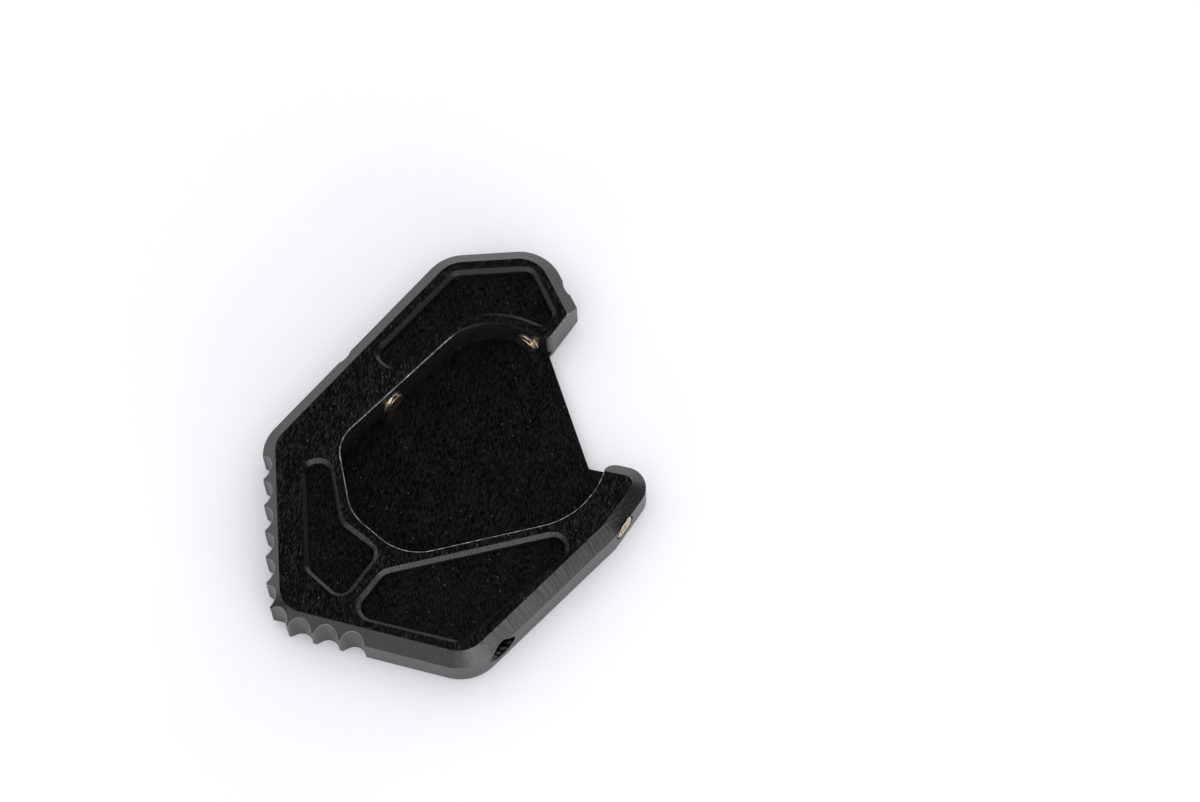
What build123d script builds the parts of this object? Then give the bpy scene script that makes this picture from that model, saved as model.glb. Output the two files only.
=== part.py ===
"""Kickstand foot enlarger: a milled plate with an open-sided pocket, and its four clamp screws."""
import os

from build123d import *

# Section of the plate, millimetres
plate_thickness = 11.5
top_chamfer = 3.0
lower_chamfer = 1.0
floor_thickness = 2.5
pocket_edge_break = 0.4

# Straight outer edges that run along the axes
left_edge = -41.95
top_edge = 51.1

# Ends of the open side, where the pocket's floor stops between the two arms
mouth_right = (29.0, 0.6)
mouth_left = (21.75, 28.0)

# Outer outline seen from above: x, y and corner radius, anticlockwise from the lower left
outer_corners = [
    (left_edge, -32.2, 8.7),
    (1.5, -46.8, 10.0),
    (33.75, -17.85, 0.0),
    (44.4, -3.9, 4.8),
    (*mouth_right, 0.0),
    (*mouth_left, 0.0),
    (28.55, 36.6, 0.0),
    (22.55, top_edge, 10.0),
    (-0.4, top_edge, 10.0),
    (left_edge, 9.55, 9.0),
]

# Pocket seen from above; the two points past the arm tips lie outside the plate
pocket_corners = [
    (-25.35, 7.45, 7.5),
    (-23.0, -9.5, 10.0),
    (-12.15, -20.3, 12.5),
    (27.8, -13.45, 18.0),
    (35.1, 3.1, 0.0),
    (30.45, 23.55, 0.0),
    (6.7, 35.75, 14.5),
]
left_tip_radius = 2.0
right_tip = (33.4, -0.7)
right_tip_radius = 2.5

# Recesses in the top face: the outlines are their upper edges
recess_depth = 2.0
recess_chamfer = 0.9
arm_recess_corners = [
    (1.75, 46.2, 3.4),
    (-17.55, 27.25, 3.0),
    (-12.9, 22.45, 3.0),
    (5.8, 38.65, 19.5),
    (21.05, 30.8, 2.4),
    (24.35, 34.05, 2.4),
    (19.5, 46.2, 3.4),
]
left_recess_corners = [
    (-33.4, 3.65, 3.3),
    (-33.4, -22.1, 3.4),
    (-25.65, -30.2, 3.4),
    (-16.2, -18.65, 3.4),
    (-24.75, -11.05, 4.5),
    (-26.8, 3.65, 3.3),
]
lower_recess_corners = [
    (-17.0, -22.95, 5.0),
    (-25.3, -33.0, 3.8),
    (-0.65, -41.0, 3.4),
    (23.65, -22.0, 2.8),
    (23.65, -16.1, 3.4),
]

# Grip flutes milled along the left edge, round the corner and part of the lower edge
flute_count = 10
flute_pitch = 5.96
flute_radius = 2.65
flute_depth = 1.95
first_flute_y = 3.25

# Clamp screws: the point where the axis meets the pocket wall, and the inward direction in degrees
screw_diameter = 6.0
screw_length = 10.0
screw_end_chamfer = 0.5
screw_clearance = 0.05
hex_across_flats = 3.0
hex_depth = 3.5
screw_height = 6.0
screw_reach = 1.05
drill_length = 30.0
clamp_screws = [
    (28.9, -9.45, 142.6),
    (5.8, -17.2, 95.5),
    (-13.3, 18.1, 314.5),
    (17.05, 30.45, 229.5),
]

# Edges and faces closer than this count as touching or upright when they are picked out
pick_tolerance = 0.01


def rounded_face(corners):
    """A flat face through the corners, each rounded by its own radius."""
    face = Polygon(*[(x, y) for x, y, radius in corners], align=None)
    for x, y, radius in corners:
        if radius > 0:
            corner = face.vertices().sort_by_distance((x, y, 0))[0]
            face = fillet(corner, radius)
    return face


def blank():
    """The plate before the pocket and the cuts, chamfered round its closed sides above and all round below."""
    solid = extrude(rounded_face(outer_corners), plate_thickness)
    stop = Vector(*mouth_left, plate_thickness)
    rim = [e for e in solid.faces().sort_by(Axis.Z)[-1].edges() if e.distance_to(stop) > pick_tolerance]
    solid = chamfer(rim, top_chamfer)
    lower_edges = solid.faces().sort_by(Axis.Z)[0].edges()
    return chamfer(lower_edges, lower_chamfer)


def pocket():
    """The space inside the pocket, open at the top and between the arms."""
    return extrude(Pos(0, 0, floor_thickness) * rounded_face(pocket_corners), plate_thickness)


def upright_edge(solid, x, y):
    """The upright edge nearest to a point in plan."""
    return solid.edges().filter_by(Axis.Z).sort_by_distance((x, y, plate_thickness / 2))[0]


def pocket_rim(solid):
    """The top edges of the upright walls: the pocket's edge and the left arm's tip."""
    walls = [face for face in solid.faces() if abs(face.normal_at().Z) < pick_tolerance]
    level = plate_thickness - pick_tolerance
    return [edge for wall in walls for edge in wall.edges() if edge.bounding_box().min.Z > level]


def recess(corners):
    """A recess with a chamfered upper edge and an upright wall below it."""
    outline = Pos(0, 0, plate_thickness) * rounded_face(corners)
    slope = extrude(outline, -recess_chamfer, taper=45)
    foot = slope.faces().sort_by(Axis.Z)[0]
    return slope + extrude(foot, recess_depth - recess_chamfer, dir=(0, 0, -1))


def flutes():
    """Upright round cuts, evenly spaced along a path beside the left edge, the corner and the lower edge."""
    corner_x, corner_y, corner_radius = outer_corners[0]
    end_x, end_y, end_radius = outer_corners[1]
    out = flute_radius - flute_depth
    left_side = Vector(-1, 0)
    lower_run = Vector(end_x - corner_x, end_y - corner_y).normalized()
    lower_side = Vector(lower_run.Y, -lower_run.X)
    corner_shift = (left_side + lower_side) * (out / (1 + left_side.dot(lower_side)))
    start = Vector(left_edge, first_flute_y) + left_side * out
    corner = Vector(corner_x, corner_y) + corner_shift
    end = Vector(end_x, end_y) + lower_side * out
    path = FilletPolyline(start, corner, end, radius=corner_radius + out)
    cuts = Part()
    for index in range(flute_count):
        centre = path @ (index * flute_pitch / path.length)
        cuts += Pos(centre.X, centre.Y, plate_thickness / 2) * Cylinder(flute_radius, 2 * plate_thickness)
    return cuts


def along_screw(x, y, direction):
    """A frame on a clamp screw's axis at the pocket wall, with Z pointing into the pocket."""
    return Pos(x, y, screw_height) * Rot(0, 0, direction) * Rot(0, 90, 0)


def screw_hole(x, y, direction):
    """The hole for one clamp screw, from outside the plate into the pocket."""
    radius = screw_diameter / 2 + screw_clearance
    start = Pos(0, 0, screw_reach - drill_length / 2)
    return along_screw(x, y, direction) * start * Cylinder(radius, drill_length)


def clamp_screw(x, y, direction):
    """A grub screw with a hex socket in its outer end."""
    body = Cylinder(screw_diameter / 2, screw_length)
    body = chamfer(body.edges().filter_by(GeomType.CIRCLE), screw_end_chamfer)
    socket = RegularPolygon(hex_across_flats / 2, 6, major_radius=False)
    body -= extrude(Pos(0, 0, -screw_length / 2) * socket, hex_depth)
    return along_screw(x, y, direction) * Pos(0, 0, screw_reach - screw_length / 2) * body


def foot_plate():
    """The finished plate."""
    plate = blank() - pocket()
    plate = fillet(upright_edge(plate, *mouth_left), left_tip_radius)
    plate = fillet(upright_edge(plate, *right_tip), right_tip_radius)
    plate = chamfer(pocket_rim(plate), pocket_edge_break)
    for corners in (arm_recess_corners, left_recess_corners, lower_recess_corners):
        plate -= recess(corners)
    plate -= flutes()
    for x, y, direction in clamp_screws:
        plate -= screw_hole(x, y, direction)
    return plate


# The middle of the plate's underside goes to the origin
plate = foot_plate()
middle = plate.bounding_box().center()
centred = Pos(-middle.X, -middle.Y, 0)
screws = [centred * clamp_screw(x, y, direction) for x, y, direction in clamp_screws]

os.makedirs("parts", exist_ok=True)
export_step(centred * plate, "parts/foot_plate.step")
export_step(Compound(children=screws), "parts/grub_screws.step")
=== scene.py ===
"""Looks of a kickstand foot enlarger: black plate, threaded holes, plated grub screws and a studio."""
import math

import bmesh
import bpy
from bpy.props import FloatProperty, FloatVectorProperty, PointerProperty
from mathutils import Euler, Matrix, Vector
from mathutils.bvhtree import BVHTree


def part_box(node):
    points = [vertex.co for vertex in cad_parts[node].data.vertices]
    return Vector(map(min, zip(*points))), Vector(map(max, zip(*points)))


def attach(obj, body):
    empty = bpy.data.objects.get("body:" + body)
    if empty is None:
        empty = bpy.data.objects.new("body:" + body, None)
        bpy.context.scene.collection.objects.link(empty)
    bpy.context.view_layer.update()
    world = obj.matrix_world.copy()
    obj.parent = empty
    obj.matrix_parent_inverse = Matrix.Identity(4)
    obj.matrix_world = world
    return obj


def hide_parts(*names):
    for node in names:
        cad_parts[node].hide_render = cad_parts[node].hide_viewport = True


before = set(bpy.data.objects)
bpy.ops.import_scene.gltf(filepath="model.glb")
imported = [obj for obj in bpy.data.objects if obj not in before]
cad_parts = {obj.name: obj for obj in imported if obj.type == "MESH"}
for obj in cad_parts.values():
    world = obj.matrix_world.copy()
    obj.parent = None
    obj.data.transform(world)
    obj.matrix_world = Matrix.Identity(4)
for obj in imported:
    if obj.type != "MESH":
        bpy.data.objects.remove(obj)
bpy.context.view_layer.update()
MM = 0.001
PLATE_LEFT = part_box("foot_plate")[0][0]
PLATE_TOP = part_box("foot_plate")[1][2]

bl_info = {
    "name": "Kickstand foot enlarger",
    "version": (1, 0, 0),
    "blender": (4, 5, 0),
    "location": "View3D > Sidebar > Foot plate",
    "description": "Dresses the packed foot plate and its clamp screws and sets up a plain studio",
    "category": "Object",
}

UP = (0.0, 0.0, 1.0)
FRONT = (0.0, -1.0, 0.0)
BACK = (0.0, 1.0, 0.0)

# Points of a mesh that are nearer than this are one point, and edges that turn more than this stay sharp
WELD = 0.001 * MM
SHARP_ANGLE = math.radians(25)

# Clamp screws: where each axis meets the pocket's wall in plan, in millimetres, and its heading in degrees
CLAMP_SCREWS = (
    (29.3, -12.27, 142.6),
    (6.2, -20.02, 95.5),
    (-12.9, 15.28, 314.5),
    (17.45, 27.63, 229.5),
)
SCREW_HEIGHT = 6.0 * MM
SCREW_REACH = 1.05 * MM

# Threads: steps in one turn, and half the width of the flat crest as a share of the pitch
THREAD_STEPS = 36
CREST_SHARE = 0.1

# Screws: turns that the thread is swept past both ends, those of them before the socket's end, the turns
# at the outer end painted dark as shade, and how near to the axis the socket's faces lie, as a share of its
# width
SPARE_TURNS = 2
LEAD_TURNS = 1.5
PAINTED_SHADE_TURNS = 2.5
SOCKET_SHARE = 0.6

# Holes: radius, more turns of thread than any of them holds, the thread's gap to the wall, and the two
# distances from the axis between which a ray has met that wall
HOLE_RADIUS = 3.05 * MM
HOLE_TURNS = 20
HOLE_GAP = 0.02 * MM
WALL_NEAR = HOLE_RADIUS - 0.1 * MM
WALL_FAR = HOLE_RADIUS + 0.05 * MM

# From a hole's mouth the crest is bare for the first length, and the thread is satin black for the second;
# deeper in it is painted shade, black with its sheen turned down
BARE_REACH = 0.5 * MM
MOUTH_REACH = 1.4 * MM
CREST_TOLERANCE = 0.03 * MM

# Flutes: an even row of upright axes just outside the plate, which runs straight down the left edge, bends
# round the corner and goes on along the lower edge
FLUTE_COUNT = 10
FLUTE_PITCH = 5.96 * MM
FLUTE_RADIUS = 2.65 * MM
FLUTE_OUTSET = 0.7 * MM
FLUTE_START = Vector((PLATE_LEFT - FLUTE_OUTSET, 0.43 * MM, 0.0))
FLUTE_STRAIGHT = 29.195 * MM
FLUTE_BEND = 9.4 * MM
FLUTE_TURN = math.radians(71.43)

# The painted highlight line round a flute: distances from its axis where the line fades out and where it is
# full
FLUTE_HIGHLIGHT = (FLUTE_RADIUS + 0.15 * MM, FLUTE_RADIUS + 0.08 * MM)
FLUTE_HIGHLIGHT_SHARE = 0.25

# How far up a level face and a chamfer point, and how deep below the top face each kind of face can reach
LEVEL = 0.99
SLOPED = 0.3
TOP_DEPTH = 0.5 * MM
POCKET_EDGE_DEPTH = 0.45 * MM
RECESS_EDGE_DEPTH = 0.95 * MM

# Places of the finishes among the materials of the plate, a screw and a hole's thread
WALLS, TOP, RECESS_FLOOR, RECESS_EDGE, POCKET_EDGE = range(5)
# Among a screw's finishes the second is painted shade on the thread's outer turns, and the third is painted
# light in the socket
PLATING, PAINTED_SHADE, SOCKET = range(3)
# Among a hole thread's finishes the second, deep inside, is painted shade
MOUTH, SHADED_DEEP, CREST = range(3)

# Gloss: the middle of a noise, and how far the roughness swings with the grain and with the milling streaks
NOISE_MIDDLE = 0.5
GRAIN_SWING = 0.2
STREAK_SWING = 0.25

# The oxide layer's refraction, and how much duller the recess edges are
OXIDE_IOR = 1.5
RECESS_EDGE_DULLING = 0.12

# Reliefs: strength and depth
STREAK_RELIEF = (0.3, 0.02 * MM)
GRAIN_RELIEF = (0.4, 0.03 * MM)

# Milled faces: broad patches among the streaks, and dust specks, which fade between two shares of their
# spacing
PATCH_SIZE = (3.0 * MM, 8.0 * MM, 3.0 * MM)
PATCH_SHARE = 0.15
DUST_SPACING = 2.0 * MM
DUST_FADE = (0.065, 0.035)

# Chamfers and walls: shares of the grain and the cutter's marks, and the noise levels where each of them
# starts and is full
GRAIN_SHARE = 0.65
GRAIN_LEVELS = (0.5, 0.72)
MARK_SHARE = 0.15
MARK_LEVELS = (0.4, 0.7)
MARK_LENGTH = 9.0 * MM

# The long slanted chamfer faces this way more than any other, and has the strongest cutter marks
CHATTER_SIDE = (0.342, -0.94, 0.0)
CHATTER_TURN = (0.6, 0.65)
CHATTER_SLOPE = (0.3, 0.6)

# Painted light on the recess edges: they are palest along a diagonal, beside the strip between two
# recesses, and facing -Y
PALE_DIAGONAL = (0.6, 0.8, 0.0)
PALE_DIAGONAL_TURN = (0.25, 0.5)
PALE_STRIP = (-20.6 * MM, -29.0 * MM, 11.0 * MM)
PALE_STRIP_FADE = (11.0 * MM, 8.0 * MM)
PALE_FRONT_TURN = (0.5, 0.66)
PALE_FRONT_FADE = (30.0 * MM, 0.0)
PALE_FRONT_SHARE = 0.7

# The pocket's edge: the patches of its painted highlight line, the heights of that line, and the sides it
# is painted on
HIGHLIGHT_PATCH_SIZE = 1.6 * MM
HIGHLIGHT_PATCH_LEVELS = (0.45, 0.75)
HIGHLIGHT_LEAST = 0.15
HIGHLIGHT_HEIGHTS = (PLATE_TOP - 0.18 * MM, PLATE_TOP - 0.28 * MM)
LIT_SIDE_TURN = (-0.62, -0.56)
LIT_BACK_TURN = (0.5, 0.68)

# Sheen of the pocket's edge and of the inside of a hole, turned down there as painted shade, and the bare
# metal on a thread's crest
EDGE_SHEEN = 0.2
SHADED_DEEP_SHEEN = 0.1
CREST_METAL = (0.8, 0.8, 0.8)
CREST_ROUGHNESS = 0.4

# Plating: size of its uneven tone, the noise levels of dark and pale, and how dark and pale they are
PLATING_GRAIN = 0.4 * MM
PLATING_LEVELS = (0.35, 0.65)
PLATING_TONES = (0.4, 1.3)

# Studio: half the floor's width, the ring of low softboxes, and the greys from the horizon to the ceiling
FLOOR_REACH = 6.0
SOFTBOX_DISTANCE = 1.2
WALL_STOPS = ((0.0, 1.0), (0.1, 1.0), (0.2, 0.6), (0.35, 0.25), (0.5, 0.03), (1.0, 0.015))
WALL_STRENGTH = 0.6
LEFT_SHADE = (0.3, 0.3, 0.3)
LEFT_TURN = (-0.8, -0.95)
RIGHT_SHADE = (0.05, 0.05, 0.05)
RIGHT_TURN = (0.75, 0.92)


class PlateLook(bpy.types.PropertyGroup):
    """Finish of the milled plate."""

    black: FloatVectorProperty(
        name="Anodised black",
        description="Colour of the dyed oxide layer",
        subtype="COLOR",
        size=3,
        min=0.0,
        max=1.0,
        default=(0.0008, 0.0008, 0.0012),
    )
    pale_streak: FloatVectorProperty(
        name="Pale streak",
        description="Colour of the brightest milling streaks",
        subtype="COLOR",
        size=3,
        min=0.0,
        max=1.0,
        default=(0.05, 0.05, 0.058),
    )
    # Painted light: the paler colour that the recess edges take only on the sides that face the light
    lit_recess_edge: FloatVectorProperty(
        name="Cut edge",
        description="Colour of the thin chamfers round the recesses",
        subtype="COLOR",
        size=3,
        min=0.0,
        max=1.0,
        default=(0.012, 0.012, 0.0125),
    )
    # Painted highlight: the pale grey of the bright lines painted along the pocket's edge and round the
    # flutes
    painted_highlight: FloatVectorProperty(
        name="Painted highlight",
        description="Colour of the painted highlight lines along the pocket's edge and round the flutes",
        subtype="COLOR",
        size=3,
        min=0.0,
        max=1.0,
        default=(0.6, 0.6, 0.61),
    )
    dust: FloatVectorProperty(
        name="Dust",
        description="Colour of the dust specks on the top faces",
        subtype="COLOR",
        size=3,
        min=0.0,
        max=1.0,
        default=(0.2, 0.2, 0.21),
    )
    face_roughness: FloatProperty(
        name="Face roughness",
        description="Gloss of the milled top faces, mean value",
        subtype="FACTOR",
        min=0.0,
        max=1.0,
        default=0.42,
    )
    edge_roughness: FloatProperty(
        name="Edge roughness",
        description="Gloss of the chamfers and walls, mean value",
        subtype="FACTOR",
        min=0.0,
        max=1.0,
        default=0.3,
    )
    streak_width: FloatProperty(
        name="Streak width",
        description="Spacing of the milling streaks on the top faces",
        unit="LENGTH",
        min=0.0,
        default=0.17 * MM,
    )
    streak_length: FloatProperty(
        name="Streak length",
        description="Length of one milling streak",
        unit="LENGTH",
        min=0.0,
        default=1.1 * MM,
    )
    streak_turn: FloatProperty(
        name="Streak turn",
        description="Turn of the milling streaks from the plate's length",
        unit="ROTATION",
        default=math.radians(-13.0),
    )
    grain: FloatProperty(
        name="Grain",
        description="Size of the mottled grain on the chamfers and walls",
        unit="LENGTH",
        min=0.0,
        default=0.28 * MM,
    )
    cutter_step: FloatProperty(
        name="Cutter step",
        description="Spacing of the cutter's marks across the chamfers and walls",
        unit="LENGTH",
        min=0.0,
        default=0.3 * MM,
    )


class ScrewLook(bpy.types.PropertyGroup):
    """Size and finish of the grub screws and their threads."""

    plating: FloatVectorProperty(
        name="Plating",
        description="Colour of the plated screws",
        subtype="COLOR",
        size=3,
        min=0.0,
        max=1.0,
        default=(0.74, 0.61, 0.47),
    )
    roughness: FloatProperty(
        name="Screw roughness",
        description="Gloss of the plated screws",
        subtype="FACTOR",
        min=0.0,
        max=1.0,
        default=0.32,
    )
    diameter: FloatProperty(
        name="Diameter",
        description="Outer diameter of the screw's thread",
        unit="LENGTH",
        min=0.0,
        default=6.0 * MM,
    )
    length: FloatProperty(
        name="Length",
        description="Length of the screw",
        unit="LENGTH",
        min=0.0,
        default=10.0 * MM,
    )
    pitch: FloatProperty(
        name="Thread pitch",
        description="Distance from one thread crest to the next",
        unit="LENGTH",
        min=0.0,
        default=1.0 * MM,
    )
    thread_depth: FloatProperty(
        name="Thread depth",
        description="Height of the thread's ridge",
        unit="LENGTH",
        min=0.0,
        default=0.55 * MM,
    )
    end_chamfer: FloatProperty(
        name="End chamfer",
        description="Chamfer on both ends of the screw",
        unit="LENGTH",
        min=0.0,
        default=0.5 * MM,
    )
    hex_width: FloatProperty(
        name="Socket width",
        description="Width of the hex socket across its flats",
        unit="LENGTH",
        min=0.0,
        default=3.0 * MM,
    )
    hex_depth: FloatProperty(
        name="Socket depth",
        description="Depth of the hex socket",
        unit="LENGTH",
        min=0.0,
        default=3.5 * MM,
    )


class StudioLook(bpy.types.PropertyGroup):
    """Floor, light and camera."""

    floor_colour: FloatVectorProperty(
        name="Floor colour",
        description="Colour of the pale floor",
        subtype="COLOR",
        size=3,
        min=0.0,
        max=1.0,
        default=(0.83, 0.838, 0.87),
    )
    floor_glow: FloatProperty(
        name="Floor glow",
        description="Brightness added to the floor where it is seen or mirrored",
        min=0.0,
        default=0.1,
    )
    overhead_power: FloatProperty(
        name="Overhead power",
        description="Power of the soft light above the floor",
        unit="POWER",
        min=0.0,
        default=198.0,
    )
    front_power: FloatProperty(
        name="Front power",
        description="Power of the low softbox in front",
        unit="POWER",
        min=0.0,
        default=3.5,
    )
    side_power: FloatProperty(
        name="Side power",
        description="Power of the low softbox at the front right",
        unit="POWER",
        min=0.0,
        default=4.6,
    )
    spot_power: FloatProperty(
        name="Spot power",
        description="Power of the small softbox in front",
        unit="POWER",
        min=0.0,
        default=0.55,
    )
    left_power: FloatProperty(
        name="Left power",
        description="Power of the low softbox at the left",
        unit="POWER",
        min=0.0,
        default=1.7,
    )
    back_power: FloatProperty(
        name="Back power",
        description="Power of the low softbox at the back right",
        unit="POWER",
        min=0.0,
        default=4.1,
    )
    camera_aim: FloatVectorProperty(
        name="Camera aim",
        description="Point on the plate's top plane at the middle of the picture",
        subtype="XYZ",
        unit="LENGTH",
        size=3,
        default=(32.73 * MM, 10.06 * MM, 11.5 * MM),
    )
    camera_distance: FloatProperty(
        name="Camera distance",
        description="Distance from the camera to its aim",
        unit="LENGTH",
        min=0.0,
        default=0.87414,
    )
    camera_tilt: FloatProperty(
        name="Camera tilt",
        description="Tilt of the camera from straight down",
        unit="ROTATION",
        default=math.radians(21.944),
    )
    camera_heading: FloatProperty(
        name="Camera heading",
        description="Turn of the camera about the upright axis",
        unit="ROTATION",
        default=math.radians(-0.791),
    )
    camera_roll: FloatProperty(
        name="Camera roll",
        description="Turn of the camera about its own line of sight",
        unit="ROTATION",
        default=math.radians(-2.789),
    )
    lens: FloatProperty(
        name="Lens",
        description="Focal length in millimetres on a sensor 36 mm wide",
        min=1.0,
        default=120.0,
    )


class Value:
    """A shader socket that can stand in a Python expression, where each operation adds a Math node."""

    def __init__(self, finish, socket):
        self.finish = finish
        self.socket = socket

    def __add__(self, other):
        return self.finish.maths("ADD", self, other)

    def __radd__(self, other):
        return self.finish.maths("ADD", other, self)

    def __sub__(self, other):
        return self.finish.maths("SUBTRACT", self, other)

    def __rsub__(self, other):
        return self.finish.maths("SUBTRACT", other, self)

    def __mul__(self, other):
        return self.finish.maths("MULTIPLY", self, other)

    def __rmul__(self, other):
        return self.finish.maths("MULTIPLY", other, self)


class Finish:
    """A node tree under construction."""

    def __init__(self, tree):
        self.tree = tree
        tree.nodes.clear()

    def add(self, kind, settings=None, sockets=None, out=0):
        """Adds a node, sets it up, fills or links its sockets and gives one of its outputs."""
        node = self.tree.nodes.new(kind)
        for name, setting in (settings or {}).items():
            if name == "stops":
                self.set_stops(node.color_ramp, setting)
            else:
                setattr(node, name, setting)
        for name, value in (sockets or {}).items():
            if isinstance(value, Value):
                self.tree.links.new(value.socket, node.inputs[name])
            else:
                node.inputs[name].default_value = value
        if not node.outputs:
            return None
        return Value(self, node.outputs[out])

    @staticmethod
    def set_stops(ramp, stops):
        """Gives a ramp its stops, as places and grey levels."""
        while len(ramp.elements) < len(stops):
            ramp.elements.new(1.0)
        for element, (place, level) in zip(ramp.elements, stops):
            element.position = place
            element.color = (level, level, level, 1.0)

    def maths(self, operation, left, right):
        """The result of one operation on two numbers."""
        return self.add("ShaderNodeMath", {"operation": operation}, {0: left, 1: right})

    def vector_maths(self, operation, left, right, out="Vector"):
        """The result of one operation on two vectors."""
        return self.add("ShaderNodeVectorMath", {"operation": operation}, {0: left, 1: right}, out=out)

    def place(self):
        """Object coordinates."""
        return self.add("ShaderNodeTexCoord", out="Object")

    def normal(self):
        """The direction that the surface faces."""
        return self.add("ShaderNodeTexCoord", out="Normal")

    def coordinate(self, vector, axis):
        """One coordinate of a place or a direction."""
        return self.add("ShaderNodeSeparateXYZ", None, {"Vector": vector}, out=axis)

    def noise(self, place, size, detail=3.0, roughness=0.6, turn=0.0):
        """Noise from 0 to 1 whose features measure size along x, y and z, turned about z."""
        settings = {"vector_type": "TEXTURE"}
        sockets = {"Vector": place, "Rotation": (0.0, 0.0, turn), "Scale": size}
        scaled = self.add("ShaderNodeMapping", settings, sockets)
        sockets = {"Vector": scaled, "Scale": 1.0, "Detail": detail, "Roughness": roughness}
        return self.add("ShaderNodeTexNoise", None, sockets)

    def grain(self, size, **more):
        """Noise whose features measure the same every way."""
        return self.noise(self.place(), (size,) * 3, **more)

    def spread(self, value, low, high):
        """A value stretched so that low becomes 0 and high becomes 1, clamped between."""
        settings = {"clamp": True}
        sockets = {"Value": value, "From Min": low, "From Max": high}
        return self.add("ShaderNodeMapRange", settings, sockets)

    def uneven(self, mean, noise, swing=GRAIN_SWING):
        """A value that swings about its mean with a noise."""
        return mean + swing * (noise - NOISE_MIDDLE)

    def relief(self, height, strength, depth):
        """A normal bent by a height."""
        sockets = {"Strength": strength, "Distance": depth, "Height": height}
        return self.add("ShaderNodeBump", None, sockets)

    def specks(self, place):
        """A mask with a few small round dots."""
        sockets = {"Vector": place, "Scale": 1.0 / DUST_SPACING}
        away = self.add("ShaderNodeTexVoronoi", None, sockets, out="Distance")
        return self.spread(away, *DUST_FADE)

    def facing(self, direction):
        """How far the surface faces a direction, from -1 to 1."""
        return self.vector_maths("DOT_PRODUCT", self.normal(), direction, out="Value")

    def distance(self, place, point):
        """How far a place is from a point."""
        return self.vector_maths("DISTANCE", place, point, out="Value")

    def plan_distance(self, place, points):
        """How far a place is in plan from the nearest of some points at height 0."""
        flat = self.vector_maths("MULTIPLY", place, (1.0, 1.0, 0.0))
        nearest = self.distance(flat, points[0])
        for point in points[1:]:
            nearest = self.maths("MINIMUM", nearest, self.distance(flat, point))
        return nearest

    def along_edge(self, place):
        """Coordinates that run level along a wall or chamfer, and up it."""
        across = self.vector_maths("CROSS_PRODUCT", self.normal(), UP)
        level = self.add("ShaderNodeVectorMath", {"operation": "NORMALIZE"}, {0: across})
        run = self.vector_maths("DOT_PRODUCT", place, level, out="Value")
        return self.add("ShaderNodeCombineXYZ", None, {"X": run, "Y": self.coordinate(place, "Z")})

    def blend(self, factor, first, second):
        """A colour between two colours."""
        settings = {"data_type": "RGBA"}
        return self.add("ShaderNodeMix", settings, {0: factor, 6: first, 7: second}, out=2)

    def surface(self, shader):
        """Links the finished shader to the output."""
        self.add("ShaderNodeOutputMaterial", None, {"Surface": shader})

    def coat(self, colour, roughness, more=None):
        """Covers the surface in a colour and a gloss; more holds the shader's other sockets."""
        sockets = {"Base Color": colour, "Roughness": roughness, **(more or {})}
        self.surface(self.add("ShaderNodeBsdfPrincipled", None, sockets))


def new_material(name):
    """An empty material and its node tree."""
    material = bpy.data.materials.new(name)
    material.use_nodes = True
    return material, Finish(material.node_tree)


def opaque(colour, share=1.0, lift=0.0):
    """A colour, dimmed to a share and lifted, with its alpha."""
    return (*(share * channel + lift for channel in colour), 1.0)


def milled_black(look, name, share, low, high):
    """Black anodised face with fine milling streaks and dust specks.

    share is how pale the streaks are, and they run from dark at low to pale at high.
    """
    material, finish = new_material(name)
    place = finish.place()
    turn = look.streak_turn
    streak_size = (look.streak_width, look.streak_length, look.streak_width)
    streaks = finish.noise(place, streak_size, detail=2.0, turn=turn)
    patches = finish.noise(place, PATCH_SIZE, turn=turn)
    lines = finish.spread(streaks + PATCH_SHARE * patches, low, high)
    metal = finish.blend(lines, opaque(look.black, share), opaque(look.pale_streak, share))
    colour = finish.blend(finish.specks(place), metal, opaque(look.dust))
    roughness = finish.uneven(look.face_roughness, streaks, STREAK_SWING)
    finish.coat(colour, roughness, {"IOR": OXIDE_IOR, "Normal": finish.relief(streaks, *STREAK_RELIEF)})
    return material


def satin_black(look, name, colour, roughness, contrast, chatter=0.0, lit_sided=False):
    """Black anodised chamfers and walls with a fine grain and the cutter's marks across them.

    contrast is how much paler the grain and marks are. chatter is how strong the marks on the long
    chamfer are, and where there is any a pale line is painted round the flutes as a highlight. A finish
    with painted sides keeps its colour, painted light, on the sides that face the light alone and is black
    elsewhere.
    """
    material, finish = new_material(name)
    place = finish.place()
    grain = finish.grain(look.grain)
    mark_size = (look.cutter_step, MARK_LENGTH, 1.0)
    marks = finish.noise(finish.along_edge(place), mark_size, detail=2.0)
    strength = MARK_SHARE
    if chatter:
        upward = finish.spread(finish.facing(UP), *CHATTER_SLOPE)
        sideways = finish.spread(finish.facing(CHATTER_SIDE), *CHATTER_TURN)
        strength = strength + chatter * sideways * upward
    speckled = GRAIN_SHARE * finish.spread(grain, *GRAIN_LEVELS)
    worn = speckled + strength * finish.spread(marks, *MARK_LEVELS)
    tone = finish.blend(worn, opaque(colour), opaque(colour, lift=contrast))
    if chatter:
        # Painted highlight: a pale line round each flute where it meets the chamfer
        line = finish.spread(finish.plan_distance(place, flute_axes()), *FLUTE_HIGHLIGHT)
        tone = finish.blend(FLUTE_HIGHLIGHT_SHARE * upward * line, tone, opaque(look.painted_highlight))
    # Painted light: the paler colour only on the sides that face the light, plain black elsewhere
    if lit_sided:
        tone = finish.blend(lit_recess_sides(finish, place), opaque(look.black), tone)
    normal = finish.relief(grain + marks, *GRAIN_RELIEF)
    finish.coat(tone, finish.uneven(roughness, grain), {"IOR": OXIDE_IOR, "Normal": normal})
    return material


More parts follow.
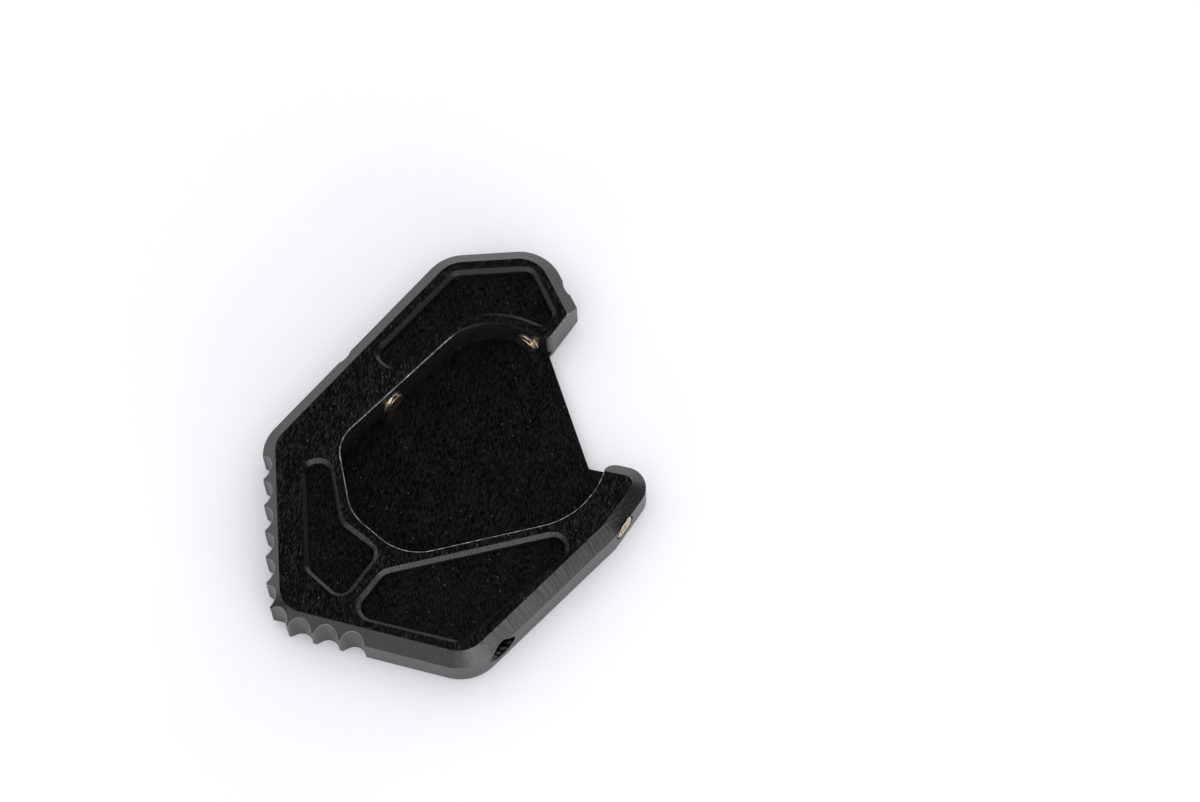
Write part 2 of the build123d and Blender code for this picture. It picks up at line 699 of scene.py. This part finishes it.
def flute_axes():
    """Plan points of the flutes' axes, evenly spaced along their row."""
    centre = FLUTE_START + Vector((FLUTE_BEND, -FLUTE_STRAIGHT, 0.0))
    axes = []
    for index in range(FLUTE_COUNT):
        past = index * FLUTE_PITCH - FLUTE_STRAIGHT
        turn = min(max(past / FLUTE_BEND, 0.0), FLUTE_TURN)
        straight = past - FLUTE_BEND * turn
        spoke = Vector((-math.cos(turn), -math.sin(turn), 0.0))
        ahead = Vector((math.sin(turn), -math.cos(turn), 0.0))
        axes.append(centre + FLUTE_BEND * spoke + straight * ahead)
    return axes


def lit_recess_sides(finish, place):
    """A mask of painted light: the recess edges that take their pale colour, by the way they face and where
    they lie.
    """
    diagonal = finish.facing(PALE_DIAGONAL)
    strip = finish.spread(finish.distance(place, PALE_STRIP), *PALE_STRIP_FADE)
    forward = finish.spread(finish.facing(FRONT), *PALE_FRONT_TURN)
    front = forward * finish.spread(finish.coordinate(place, "Y"), *PALE_FRONT_FADE)
    return finish.spread(diagonal * diagonal, *PALE_DIAGONAL_TURN) + strip + PALE_FRONT_SHARE * front


def rim_highlight(look):
    """The pocket's edge: black above, and an uneven line of pale grey where it meets the wall, a painted
    highlight, strongest where the edge faces the back and missing where it faces the front.
    """
    material, finish = new_material("rim_highlight")
    grain = finish.grain(look.grain)
    highlight_patches = finish.grain(HIGHLIGHT_PATCH_SIZE, detail=6.0, roughness=0.7)
    below = finish.spread(finish.coordinate(finish.place(), "Z"), *HIGHLIGHT_HEIGHTS)
    backward = finish.facing(BACK)
    lit_rim_sides = finish.spread(backward, *LIT_SIDE_TURN) + finish.spread(backward, *LIT_BACK_TURN)
    patchy = HIGHLIGHT_LEAST + (1.0 - HIGHLIGHT_LEAST) * finish.spread(highlight_patches, *HIGHLIGHT_PATCH_LEVELS)
    # Painted highlight: a patchy pale grey line along the pocket's edge, on the sides that face the back
    colour = finish.blend(lit_rim_sides * below * patchy, opaque(look.black), opaque(look.painted_highlight))
    finish.coat(colour, finish.uneven(look.face_roughness, grain), {"Specular IOR Level": EDGE_SHEEN})
    return material


def deep_shaded_black(look):
    """The inside of a hole, black with its sheen turned down: painted shade."""
    material, finish = new_material("deep_shaded_black")
    roughness = finish.uneven(look.edge_roughness, finish.grain(look.grain))
    finish.coat(opaque(look.black), roughness, {"Specular IOR Level": SHADED_DEEP_SHEEN})
    return material


def bare_crest(look):
    """Bare metal on the thread's crest where a hole opens."""
    material, finish = new_material("bare_crest")
    roughness = finish.uneven(CREST_ROUGHNESS, finish.grain(look.grain))
    finish.coat(opaque(CREST_METAL), roughness, {"Metallic": 1.0})
    return material


def plated_steel(look, name, share, metallic):
    """Pale yellow plating with an uneven tone and gloss; share is how bright it is, and a low share paints
    it dark as shade.
    """
    material, finish = new_material(name)
    grain = finish.grain(PLATING_GRAIN)
    dark, pale = (opaque(look.plating, tone * share) for tone in PLATING_TONES)
    colour = finish.blend(finish.spread(grain, *PLATING_LEVELS), dark, pale)
    finish.coat(colour, finish.uneven(look.roughness, grain), {"Metallic": metallic})
    return material


def add_piece(name, mesh, materials):
    """Links a finished mesh as a piece that moves with the plate."""
    for material in materials:
        mesh.materials.append(material)
    piece = bpy.data.objects.new(name, mesh)
    bpy.context.scene.collection.objects.link(piece)
    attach(piece, "root")
    return piece


def merged_copy(node):
    """A bmesh of a CAD node with its loose triangles joined."""
    shape = bmesh.new()
    shape.from_mesh(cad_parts[node].data)
    bmesh.ops.remove_doubles(shape, verts=shape.verts, dist=WELD)
    return shape


def move_into(group, shape):
    """Adds a bmesh to a group of like shapes and frees it."""
    loose = bpy.data.meshes.new("loose")
    shape.to_mesh(loose)
    shape.free()
    group.from_mesh(loose)
    bpy.data.meshes.remove(loose)


def to_mesh(shape, name):
    """Turns a bmesh into a smooth-shaded mesh with sharp edges kept."""
    mesh = bpy.data.meshes.new(name)
    shape.to_mesh(mesh)
    shape.free()
    stored_normals = mesh.attributes.get("custom_normal")
    if stored_normals:
        mesh.attributes.remove(stored_normals)
    mesh.shade_smooth()
    mesh.set_sharp_from_angle(angle=SHARP_ANGLE)
    return mesh


def finish_of_face(upward, depth):
    """Place of a plate face's finish, from how far up it points and how deep it reaches below the top."""
    if upward > LEVEL:
        return TOP if depth < TOP_DEPTH else RECESS_FLOOR
    if upward > SLOPED and depth < RECESS_EDGE_DEPTH:
        return POCKET_EDGE if depth < POCKET_EDGE_DEPTH else RECESS_EDGE
    return WALLS


def along_screw(x, y, direction):
    """A frame on a clamp screw's axis at the pocket's wall, with Z pointing into the pocket."""
    place = Matrix.Translation((x * MM, y * MM, SCREW_HEIGHT))
    return place @ Euler((0.0, math.pi / 2, math.radians(direction))).to_matrix().to_4x4()


def ridge(foot, crest, pitch, inset=0.0):
    """Outline of a thread's ridge over one pitch, as radius and height pairs."""
    middle = pitch / 2
    flat = CREST_SHARE * pitch
    return ((foot, inset), (crest, middle - flat), (crest, middle + flat), (foot, pitch - inset))


def helix(shape, profile, pitch, turns, closed=False):
    """Sweeps a profile of radius and height pairs upwards along a screw line."""
    verts = [shape.verts.new((radius, 0.0, height)) for radius, height in profile]
    edges = [shape.edges.new(pair) for pair in zip(verts, verts[1:])]
    if closed:
        edges.append(shape.edges.new((verts[-1], verts[0])))
    bmesh.ops.spin(
        shape,
        geom=verts + edges,
        cent=(0.0, 0.0, 0.0),
        axis=UP,
        dvec=(0.0, 0.0, pitch / THREAD_STEPS),
        angle=2 * math.pi * turns,
        steps=THREAD_STEPS * turns,
    )


def screw_body(look):
    """One grub screw along Z with its tip at the origin: threaded body, chamfered ends and a hex socket."""
    shape = bmesh.new()
    outer = look.diameter / 2
    turns = math.ceil(look.length / look.pitch) + SPARE_TURNS
    helix(shape, ridge(outer - look.thread_depth, outer, look.pitch), look.pitch, turns)
    bmesh.ops.remove_doubles(shape, verts=shape.verts, dist=WELD)
    start = -look.length - LEAD_TURNS * look.pitch
    bmesh.ops.translate(shape, verts=shape.verts, vec=(0.0, 0.0, start))
    for height, side in ((0.0, 1.0), (-look.length, -1.0)):
        bmesh.ops.bisect_plane(
            shape,
            geom=shape.verts[:] + shape.edges[:] + shape.faces[:],
            plane_co=(0.0, 0.0, height),
            plane_no=(0.0, 0.0, side),
            clear_outer=True,
        )
    for vert in shape.verts:
        depth = min(-vert.co.z, vert.co.z + look.length)
        limit = outer - look.end_chamfer + depth
        radius = vert.co.xy.length
        if radius > limit:
            vert.co.xy *= limit / radius
    cap_end(shape, 0.0)
    cut_socket(shape, cap_end(shape, -look.length), look)
    bmesh.ops.recalc_face_normals(shape, faces=shape.faces)
    return shape


def open_rim(shape, height):
    """The open edges at one height."""
    return [
        edge
        for edge in shape.edges
        if edge.is_boundary and all(abs(vert.co.z - height) < WELD for vert in edge.verts)
    ]


def cap_end(shape, height):
    """Closes the round opening at one height with a single face."""
    rim_verts = {vert for edge in open_rim(shape, height) for vert in edge.verts}
    bmesh.ops.remove_doubles(shape, verts=list(rim_verts), dist=WELD)
    return bmesh.ops.contextual_create(shape, geom=open_rim(shape, height))["faces"][0]


def cut_socket(shape, face, look):
    """Opens a hex socket in a round end face."""
    height = face.verts[0].co.z
    rim = list(face.edges)
    bmesh.ops.delete(shape, geom=[face], context="FACES_ONLY")
    hexagon = bmesh.ops.create_circle(
        shape,
        cap_ends=True,
        segments=6,
        radius=look.hex_width / 2 / math.cos(math.pi / 6),
        matrix=Matrix.Translation((0.0, 0.0, height)),
    )["verts"]
    mouth = hexagon[0].link_faces[0]
    hex_edges = list(mouth.edges)
    floor = bmesh.ops.extrude_discrete_faces(shape, faces=[mouth])["faces"][0]
    bmesh.ops.translate(shape, verts=list(floor.verts), vec=(0.0, 0.0, look.hex_depth))
    bmesh.ops.bridge_loops(shape, edges=rim + hex_edges)


def finish_screw(shape, look):
    """Gives a screw's faces their finish: plating, the thread's first turns at the outer end painted dark
    as shade, and a matte socket painted light.
    """
    for face in shape.faces:
        middle = face.calc_center_median()
        depth = middle.z + look.length
        central = middle.xy.length < SOCKET_SHARE * look.hex_width
        # Painted light: the socket takes a matte copy of the plating, standing in for light bounced inside
        # it
        if central and WELD < depth < look.hex_depth + WELD:
            face.material_index = SOCKET
        # Painted shade: the thread's turns near the outer end are made nearly black, as if shaded inside
        # the hole
        elif look.end_chamfer < depth < PAINTED_SHADE_TURNS * look.pitch:
            face.material_index = PAINTED_SHADE
        else:
            face.material_index = PLATING


def in_hole(walls, place, point):
    """Whether the hole's wall is there beside a point of its thread."""
    inside = place.inverted() @ point
    middle = place @ Vector((0.0, 0.0, inside.z))
    hit = walls.ray_cast(middle, (point - middle).normalized(), WALL_FAR)
    return hit[0] is not None and hit[3] > WALL_NEAR


def hole_thread(walls, look, place):
    """The ridge of one hole's thread, from the screw's outer end to where the hole leaves the plate."""
    shape = bmesh.new()
    crest = HOLE_RADIUS - look.thread_depth
    outline = ridge(HOLE_RADIUS - HOLE_GAP, crest, look.pitch, inset=CREST_SHARE * look.pitch)
    helix(shape, outline, look.pitch, HOLE_TURNS, closed=True)
    start = SCREW_REACH - look.length - (HOLE_TURNS + 1) * look.pitch
    bmesh.ops.translate(shape, verts=shape.verts, vec=(0.0, 0.0, start))
    shape.transform(place)
    keep_in_hole(shape, walls, place, len(outline))
    bmesh.ops.recalc_face_normals(shape, faces=shape.faces)
    finish_hole_thread(shape, walls, place, crest)
    return shape


def keep_in_hole(shape, walls, place, count):
    """Takes away the sweep's steps, of count points each, that leave the hole, and closes the ends."""
    verts = shape.verts[:]
    steps = [verts[first : first + count] for first in range(0, len(verts), count)]
    outside = [step for step in steps if not all(in_hole(walls, place, vert.co) for vert in step)]
    bmesh.ops.delete(shape, geom=[vert for step in outside for vert in step], context="VERTS")
    lone = [vert for vert in shape.verts if not vert.link_faces]
    bmesh.ops.delete(shape, geom=lone, context="VERTS")
    ends = [edge for edge in shape.edges if edge.is_boundary]
    bmesh.ops.holes_fill(shape, edges=ends, sides=count)


def finish_hole_thread(shape, walls, place, crest):
    """Gives a hole's thread its finish: bare crest and satin black at the mouth, and painted shade inside,
    black with its sheen turned down.
    """
    outward = place.to_3x3() @ Vector((0.0, 0.0, -1.0))
    for face in shape.faces:
        middle = face.calc_center_median()
        on_crest = abs((place.inverted() @ middle).xy.length - crest) < CREST_TOLERANCE
        if on_crest and not in_hole(walls, place, middle + BARE_REACH * outward):
            face.material_index = CREST
        # Painted shade: deeper in, the thread takes a black with its sheen turned down
        elif in_hole(walls, place, middle + MOUTH_REACH * outward):
            face.material_index = SHADED_DEEP
        else:
            face.material_index = MOUTH


def add_floor(look):
    """A wide pale floor under the plate that glows where it is seen and keeps the shadow."""
    shape = bmesh.new()
    bmesh.ops.create_grid(shape, x_segments=1, y_segments=1, size=FLOOR_REACH)
    mesh = bpy.data.meshes.new("floor")
    shape.to_mesh(mesh)
    shape.free()
    material, finish = new_material("pale_floor")
    seen = finish.add("ShaderNodeLightPath", out="Is Camera Ray")
    mirrored = finish.add("ShaderNodeLightPath", out="Is Glossy Ray")
    through = finish.add("ShaderNodeLightPath", out="Is Transmission Ray")
    strength = look.floor_glow * (seen + mirrored + through)
    sockets = {"Color": (1.0, 1.0, 1.0, 1.0), "Strength": strength}
    glow = finish.add("ShaderNodeEmission", None, sockets)
    paint = finish.add("ShaderNodeBsdfDiffuse", None, {"Color": opaque(look.floor_colour)})
    finish.surface(finish.add("ShaderNodeAddShader", None, {0: glow, 1: paint}))
    mesh.materials.append(material)
    floor = bpy.data.objects.new("floor", mesh)
    bpy.context.scene.collection.objects.link(floor)


def add_light(name, place, aim, size, power, mirrored=True):
    """A rectangular soft light turned towards a point."""
    lamp = bpy.data.lights.new(name, "AREA")
    lamp.shape = "RECTANGLE"
    lamp.size, lamp.size_y = size
    lamp.energy = power
    light = bpy.data.objects.new(name, lamp)
    light.location = place
    light.rotation_euler = (Vector(aim) - Vector(place)).to_track_quat("-Z", "Y").to_euler()
    light.visible_camera = False
    light.visible_glossy = mirrored
    bpy.context.scene.collection.objects.link(light)


def low_softbox(name, heading, size, power, height=0.26):
    """A low softbox that faces the plate from a heading, in degrees from +X."""
    turn = math.radians(heading)
    place = (SOFTBOX_DISTANCE * math.cos(turn), SOFTBOX_DISTANCE * math.sin(turn), height)
    add_light(name, place, (0.0, 0.0, 0.0), size, power)


def add_lights(look):
    """A wide light overhead that is kept out of reflections, and low softboxes round the plate."""
    add_light(
        "overhead",
        place=(0.6, -0.5, 1.5),
        aim=(0.6, -0.5, 0.0),
        size=(8.0, 8.0),
        power=look.overhead_power,
        mirrored=False,
    )
    low_softbox("front", heading=-112.0, size=(1.87, 0.31), power=look.front_power)
    low_softbox("front_spot", heading=-76.0, size=(0.3, 0.25), power=look.spot_power, height=0.45)
    low_softbox("front_right", heading=-57.0, size=(0.85, 0.31), power=look.side_power)
    low_softbox("back_right", heading=55.0, size=(1.12, 0.31), power=look.back_power)
    low_softbox("left", heading=155.0, size=(0.8, 0.2), power=look.left_power, height=0.11)


def set_world(scene):
    """Pale walls near the horizon, darker at the sides, and a dark ceiling."""
    world = bpy.data.worlds.new("studio")
    world.use_nodes = True
    finish = Finish(world.node_tree)
    direction = finish.add("ShaderNodeTexCoord", out="Generated")
    height = finish.coordinate(direction, "Z")
    walls = finish.add("ShaderNodeValToRGB", {"stops": WALL_STOPS}, {"Fac": height})
    rightward = finish.coordinate(direction, "X")
    for shade, turn in ((LEFT_SHADE, LEFT_TURN), (RIGHT_SHADE, RIGHT_TURN)):
        walls = finish.blend(finish.spread(rightward, *turn), walls, opaque(shade))
    sockets = {"Color": walls, "Strength": WALL_STRENGTH}
    background = finish.add("ShaderNodeBackground", None, sockets)
    finish.add("ShaderNodeOutputWorld", None, {"Surface": background})
    scene.world = world


def add_camera(scene, look):
    """The camera at the place that the picture was taken from."""
    data = bpy.data.cameras.new("camera")
    data.lens = look.lens
    data.sensor_width = 36.0
    data.clip_start = 0.01
    data.clip_end = 50.0
    camera = bpy.data.objects.new("camera", data)
    turn = Euler((look.camera_tilt, 0.0, look.camera_heading)).to_matrix().to_4x4()
    roll = Matrix.Rotation(look.camera_roll, 4, "Z")
    back = Matrix.Translation((0.0, 0.0, look.camera_distance))
    camera.matrix_world = Matrix.Translation(look.camera_aim) @ turn @ back @ roll
    scene.collection.objects.link(camera)
    scene.camera = camera


class FOOTPLATE_OT_plate(bpy.types.Operator):
    """Dress the milled plate in black anodising"""

    bl_idname = "footplate.plate"
    bl_label = "Milled plate"

    def execute(self, context):
        look = context.scene.plate_look
        mesh = to_mesh(merged_copy("foot_plate"), "plate_milled")
        satin = look.edge_roughness
        dull = satin + RECESS_EDGE_DULLING
        finishes = (
            satin_black(look, "satin_black", look.black, satin, contrast=0.05, chatter=1.2),
            milled_black(look, "milled_black", share=1.0, low=0.6, high=0.92),
            milled_black(look, "recess_black", share=0.45, low=0.52, high=0.96),
            # Painted light: the recess edges are pale only on the sides that face the light
            satin_black(look, "lit_recess_edges", look.lit_recess_edge, dull, contrast=0.1, lit_sided=True),
            # Painted highlight along the pocket's edge
            rim_highlight(look),
        )
        piece = add_piece("plate_milled", mesh, finishes)
        for face in mesh.polygons:
            lowest = min(mesh.vertices[index].co.z for index in face.vertices)
            face.material_index = finish_of_face(face.normal.z, PLATE_TOP - lowest)
        weighting = piece.modifiers.new("Flat faces stay flat", "WEIGHTED_NORMAL")
        weighting.keep_sharp = True
        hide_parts("foot_plate")
        return {"FINISHED"}


class FOOTPLATE_OT_screws(bpy.types.Operator):
    """Build the threaded grub screws in their holes"""

    bl_idname = "footplate.screws"
    bl_label = "Grub screws"

    def execute(self, context):
        look = context.scene.screw_look
        half_turn = Matrix.Rotation(math.pi, 4, "Z")
        reach = Matrix.Translation((0.0, 0.0, SCREW_REACH))
        group = bmesh.new()
        for x, y, direction in CLAMP_SCREWS:
            shape = screw_body(look)
            finish_screw(shape, look)
            shape.transform(along_screw(x, y, direction) @ reach @ half_turn)
            move_into(group, shape)
        mesh = to_mesh(group, "grub_screws_threaded")
        finishes = (
            plated_steel(look, "plated_steel", share=1.0, metallic=1.0),
            # Painted shade: a nearly black copy of the plating for the thread's outer turns
            plated_steel(look, "shaded_thread", share=0.02, metallic=0.0),
            # Painted light: a matte copy of the plating that makes the socket look lit
            plated_steel(look, "lit_socket", share=1.0, metallic=0.0),
        )
        piece = add_piece("grub_screws_threaded", mesh, finishes)
        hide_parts("grub_screws")
        return {"FINISHED"}


class FOOTPLATE_OT_hole_threads(bpy.types.Operator):
    """Cut the look of a thread into the open length of each screw hole"""

    bl_idname = "footplate.hole_threads"
    bl_label = "Hole threads"

    def execute(self, context):
        look = context.scene.plate_look
        plate = merged_copy("foot_plate")
        walls = BVHTree.FromBMesh(plate)
        plate.free()
        group = bmesh.new()
        for x, y, direction in CLAMP_SCREWS:
            shape = hole_thread(walls, context.scene.screw_look, along_screw(x, y, direction))
            move_into(group, shape)
        mesh = to_mesh(group, "hole_threads")
        finishes = (
            satin_black(look, "hole_mouth", look.black, look.edge_roughness, contrast=0.05),
            deep_shaded_black(look),
            bare_crest(look),
        )
        add_piece("hole_threads", mesh, finishes)
        return {"FINISHED"}


class FOOTPLATE_OT_studio(bpy.types.Operator):
    """Set up the pale floor, the soft lights and the camera"""

    bl_idname = "footplate.studio"
    bl_label = "Studio"

    def execute(self, context):
        look = context.scene.studio_look
        add_floor(look)
        add_lights(look)
        set_world(context.scene)
        add_camera(context.scene, look)
        context.scene.view_settings.view_transform = "Standard"
        return {"FINISHED"}


class FOOTPLATE_PT_panel(bpy.types.Panel):
    """Sizes and colours of the foot plate"""

    bl_idname = "FOOTPLATE_PT_panel"
    bl_label = "Foot plate"
    bl_space_type = "VIEW_3D"
    bl_region_type = "UI"
    bl_category = "Foot plate"

    def draw(self, context):
        for group in ("plate_look", "screw_look", "studio_look"):
            look = getattr(context.scene, group)
            box = self.layout.box()
            for name in look.__annotations__:
                box.prop(look, name)
        for operator in PIECE_OPERATORS:
            self.layout.operator(operator.bl_idname)


PIECE_OPERATORS = (
    FOOTPLATE_OT_plate,
    FOOTPLATE_OT_screws,
    FOOTPLATE_OT_hole_threads,
    FOOTPLATE_OT_studio,
)
CLASSES = (PlateLook, ScrewLook, StudioLook, *PIECE_OPERATORS, FOOTPLATE_PT_panel)


def register():
    """Registers the classes and hangs the looks on the scene."""
    for item in CLASSES:
        bpy.utils.register_class(item)
    bpy.types.Scene.plate_look = PointerProperty(type=PlateLook)
    bpy.types.Scene.screw_look = PointerProperty(type=ScrewLook)
    bpy.types.Scene.studio_look = PointerProperty(type=StudioLook)


def unregister():
    """Takes the looks and the classes away again."""
    del bpy.types.Scene.studio_look
    del bpy.types.Scene.screw_look
    del bpy.types.Scene.plate_look
    for item in reversed(CLASSES):
        bpy.utils.unregister_class(item)


def main():
    """Builds every piece and the stage."""
    register()
    bpy.ops.footplate.plate()
    bpy.ops.footplate.screws()
    bpy.ops.footplate.hole_threads()
    bpy.ops.footplate.studio()


if __name__ == "__main__":
    main()
